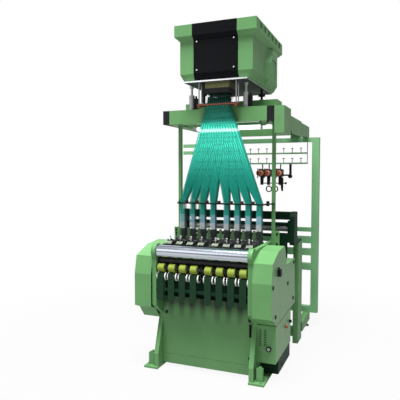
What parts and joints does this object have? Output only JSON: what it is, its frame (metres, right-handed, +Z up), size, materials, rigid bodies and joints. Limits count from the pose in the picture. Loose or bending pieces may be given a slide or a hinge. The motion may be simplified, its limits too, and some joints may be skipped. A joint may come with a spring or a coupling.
{
  "type": "narrow fabric jacquard needle loom",
  "caption": "Green power loom for ribbons: weaving heads at the front, a cord harness above them, an electronic jacquard head on a gantry and a yarn creel at the rear.",
  "frame": {"origin": "middle of the four floor anchor holes, at floor level", "axes": "+X to the machine's right as seen from the front, +Y to the creel at the back, +Z up"},
  "size_m": [1.477, 1.639, 2.75],
  "materials": {
    "green_paint": "semi-gloss",
    "light_green_paint": "semi-gloss",
    "frame_green_paint": "satin",
    "dark_green_paint": "satin",
    "black_paint": "satin",
    "black_plastic": "matt",
    "red_plastic": "gloss",
    "orange_plastic": "gloss",
    "white_plastic": "semi-gloss",
    "beige_plastic": "matt",
    "khaki_plastic": "matt",
    "copper_board": "matt",
    "lamp_white": "semi-gloss",
    "polished_steel": "polished",
    "steel": "brushed",
    "plate_aluminium": "satin",
    "screw_steel": "satin",
    "yellow_rubber": "matt",
    "black_rubber": "matt",
    "teal_cord": "matt",
    "heddle_cord": "matt"
  },
  "bodies": {
    "base": {"left_side_frame": "frame_green_paint", "right_side_frame": "frame_green_paint", "front_panel": "green_paint", "kick_plate": "green_paint", "fasteners": "screw_steel", "tie_beams": "frame_green_paint", "inner_panels": "dark_green_paint", "left_side_cover": "green_paint", "right_side_cover": "green_paint", "control_box": "green_paint", "box_plinth": "dark_green_paint", "guide_plates": "dark_green_paint", "plate_bar": "dark_green_paint", "weaving_rails": "black_paint", "fabric_guides": "beige_plastic", "weft_heads": "black_plastic", "warp_guides": "light_green_paint", "motor": "dark_green_paint", "drive_belt": "black_rubber", "comber_board": "black_paint", "harness_cords": "teal_cord", "heddle_drops": "heddle_cord", "guide_board": "copper_board", "hook_modules": "khaki_plastic", "gantry_columns": "green_paint", "front_beam": "green_paint", "beam_caps": "black_plastic", "side_beams": "green_paint", "rear_beam": "green_paint", "front_jacks": "steel", "drive_gearbox": "green_paint", "lamp": "lamp_white", "head_base_plate": "plate_aluminium", "head_body": "green_paint", "head_lid": "light_green_paint", "head_front_band": "black_plastic", "letoff_frame": "dark_green_paint", "rear_posts": "dark_green_paint", "creel_frame": "green_paint", "yarn_rails": "light_green_paint", "feeder_bodies": "black_plastic"},
    "take_down_roller": {"take_down_roller": "polished_steel"},
    "press_roller": {"press_roller": "black_rubber"},
    "nip_rollers": {"nip_rollers": "yellow_rubber"},
    "guide_spools": {"guide_spools": "white_plastic"},
    "needle_bar": {"needle_bar": "steel"},
    "reed_batten": {"reed_batten": "steel"},
    "main_shaft": {"main_shaft": "steel"},
    "motor_rotor": {"motor_rotor": "steel"},
    "box_door": {"box_door": "green_paint"},
    "door_lock": {"door_lock": "black_plastic"},
    "stop_button": {"stop_button": "red_plastic"},
    "main_switch": {"main_switch": "black_plastic"},
    "start_lever": {"start_lever": "black_plastic"},
    "left_rear_jack": {"left_rear_jack": "black_plastic"},
    "right_rear_jack": {"right_rear_jack": "black_plastic"},
    "letoff_roller": {"letoff_roller": "steel"},
    "feeder_drum_1": {"feeder_drum_1": "orange_plastic"},
    "feeder_drum_2": {"feeder_drum_2": "orange_plastic"},
    "feeder_drum_3": {"feeder_drum_3": "orange_plastic"}
  },
  "joints": [
    {"name": "take_down_turn", "type": "hinge", "parent": "base", "child": "take_down_roller", "pos_m": [0, -0.365, 0.943], "axis": [1, 0, 0], "continuous": true},
    {"name": "press_turn", "type": "hinge", "parent": "base", "child": "press_roller", "pos_m": [0, -0.358, 0.8724], "axis": [1, 0, 0], "continuous": true},
    {"name": "nip_turn", "type": "hinge", "parent": "base", "child": "nip_rollers", "pos_m": [0, -0.38, 0.818], "axis": [1, 0, 0], "continuous": true},
    {"name": "spool_turn", "type": "hinge", "parent": "base", "child": "guide_spools", "pos_m": [0, -0.372, 0.75], "axis": [1, 0, 0], "continuous": true},
    {"name": "needle_slide", "type": "slide", "parent": "base", "child": "needle_bar", "axis": [1, 0, 0], "range_m": [0, 0.03]},
    {"name": "batten_swing", "type": "hinge", "parent": "base", "child": "reed_batten", "pos_m": [0, -0.103, 0.7], "axis": [1, 0, 0], "range_deg": [-3, 3]},
    {"name": "main_shaft_turn", "type": "hinge", "parent": "base", "child": "main_shaft", "pos_m": [0, 0.042, 0.6], "axis": [1, 0, 0], "continuous": true},
    {"name": "motor_turn", "type": "hinge", "parent": "base", "child": "motor_rotor", "pos_m": [0, 0.302, 0.572], "axis": [1, 0, 0], "continuous": true},
    {"name": "door_swing", "type": "hinge", "parent": "base", "child": "box_door", "pos_m": [0.545, -0.267, 0.28], "axis": [0, 0, -1], "range_deg": [0, 90]},
    {"name": "lock_turn", "type": "hinge", "parent": "box_door", "child": "door_lock", "pos_m": [0.552, 0.209, 0.325], "axis": [1, 0, 0], "range_deg": [0, 90]},
    {"name": "stop_press", "type": "slide", "parent": "box_door", "child": "stop_button", "axis": [-1, 0, 0], "range_m": [0, 0.004], "stiffness_N_per_m": 600},
    {"name": "switch_turn", "type": "hinge", "parent": "base", "child": "main_switch", "pos_m": [0.499, -0.278, 0.246], "axis": [0, -1, 0], "range_deg": [0, 90]},
    {"name": "lever_swing", "type": "hinge", "parent": "base", "child": "start_lever", "pos_m": [-0.39, 0.012, 1.006], "axis": [1, 0, 0], "range_deg": [-25, 25]},
    {"name": "left_jack_turn", "type": "hinge", "parent": "base", "child": "left_rear_jack", "pos_m": [-0.24, 0.447, 2.245], "axis": [0, 0, 1], "continuous": true},
    {"name": "right_jack_turn", "type": "hinge", "parent": "base", "child": "right_rear_jack", "pos_m": [0.24, 0.447, 2.245], "axis": [0, 0, 1], "continuous": true},
    {"name": "letoff_turn", "type": "hinge", "parent": "base", "child": "letoff_roller", "pos_m": [0, 0.512, 1.062], "axis": [1, 0, 0], "continuous": true},
    {"name": "feeder_turn_1", "type": "hinge", "parent": "base", "child": "feeder_drum_1", "pos_m": [0.066, 1.162, 1.56], "axis": [0, -1, 0], "continuous": true},
    {"name": "feeder_turn_2", "type": "hinge", "parent": "base", "child": "feeder_drum_2", "pos_m": [0.136, 1.162, 1.56], "axis": [0, -1, 0], "continuous": true},
    {"name": "feeder_turn_3", "type": "hinge", "parent": "base", "child": "feeder_drum_3", "pos_m": [0.256, 1.162, 1.56], "axis": [0, -1, 0], "continuous": true}
  ],
  "couplings": [
    {"joint": "press_turn", "follows": "take_down_turn", "ratio": -2.5},
    {"joint": "nip_turn", "follows": "take_down_turn", "ratio": 1.5152},
    {"joint": "spool_turn", "follows": "take_down_turn", "ratio": 1.6129},
    {"joint": "motor_turn", "follows": "main_shaft_turn", "ratio": 2.5}
  ]
}
